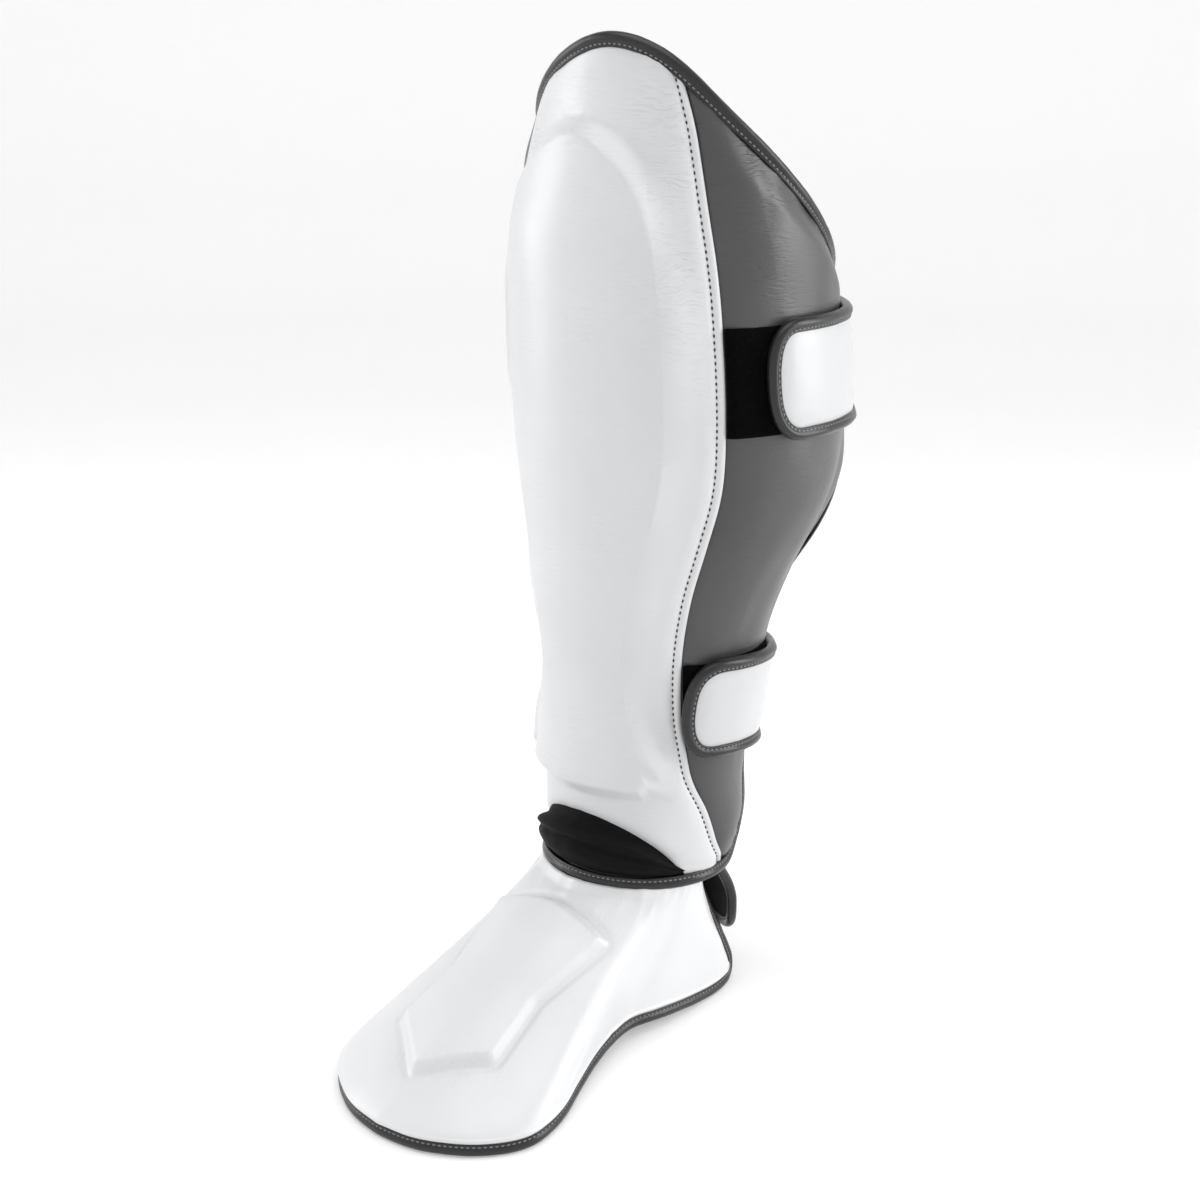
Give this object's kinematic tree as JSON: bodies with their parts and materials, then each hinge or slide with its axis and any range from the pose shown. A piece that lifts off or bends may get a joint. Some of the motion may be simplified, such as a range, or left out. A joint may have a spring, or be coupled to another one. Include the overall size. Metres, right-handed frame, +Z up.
{
  "type": "shin and instep guard",
  "caption": "Padded leather shin and instep guard for one leg, with calf wings, closing straps at the back and a raised pad on the shin and on the instep.",
  "frame": {"origin": "bottom centre of the bounding box, in the plane that the instep's rim stands on", "axes": "+Z up along the leg, toes towards -Y, +X the side on which the closing straps end"},
  "size_m": [0.1628, 0.2972, 0.4806],
  "materials": {
    "white_leather": "smooth satin synthetic leather",
    "grey_leather": "soft satin synthetic leather",
    "binding_leather": "glossy folded leather binding",
    "loop_tape": "matt fuzzy loop tape",
    "neoprene": "matt knit-faced neoprene"
  },
  "bodies": {
    "root": {"ankle_gusset": "neoprene", "ankle_tab": "neoprene", "ankle_tab_binding": "binding_leather", "instep_binding": "binding_leather", "instep_pad": "white_leather", "lower_loop_patch": "loop_tape", "lower_strap": "white_leather", "lower_strap_binding": "binding_leather", "shin_binding": "binding_leather", "shin_pad": "white_leather", "upper_loop_patch": "loop_tape", "upper_strap": "white_leather", "upper_strap_binding": "binding_leather", "wing_inner": "grey_leather", "wing_outer": "grey_leather"}
  },
  "joints": []
}
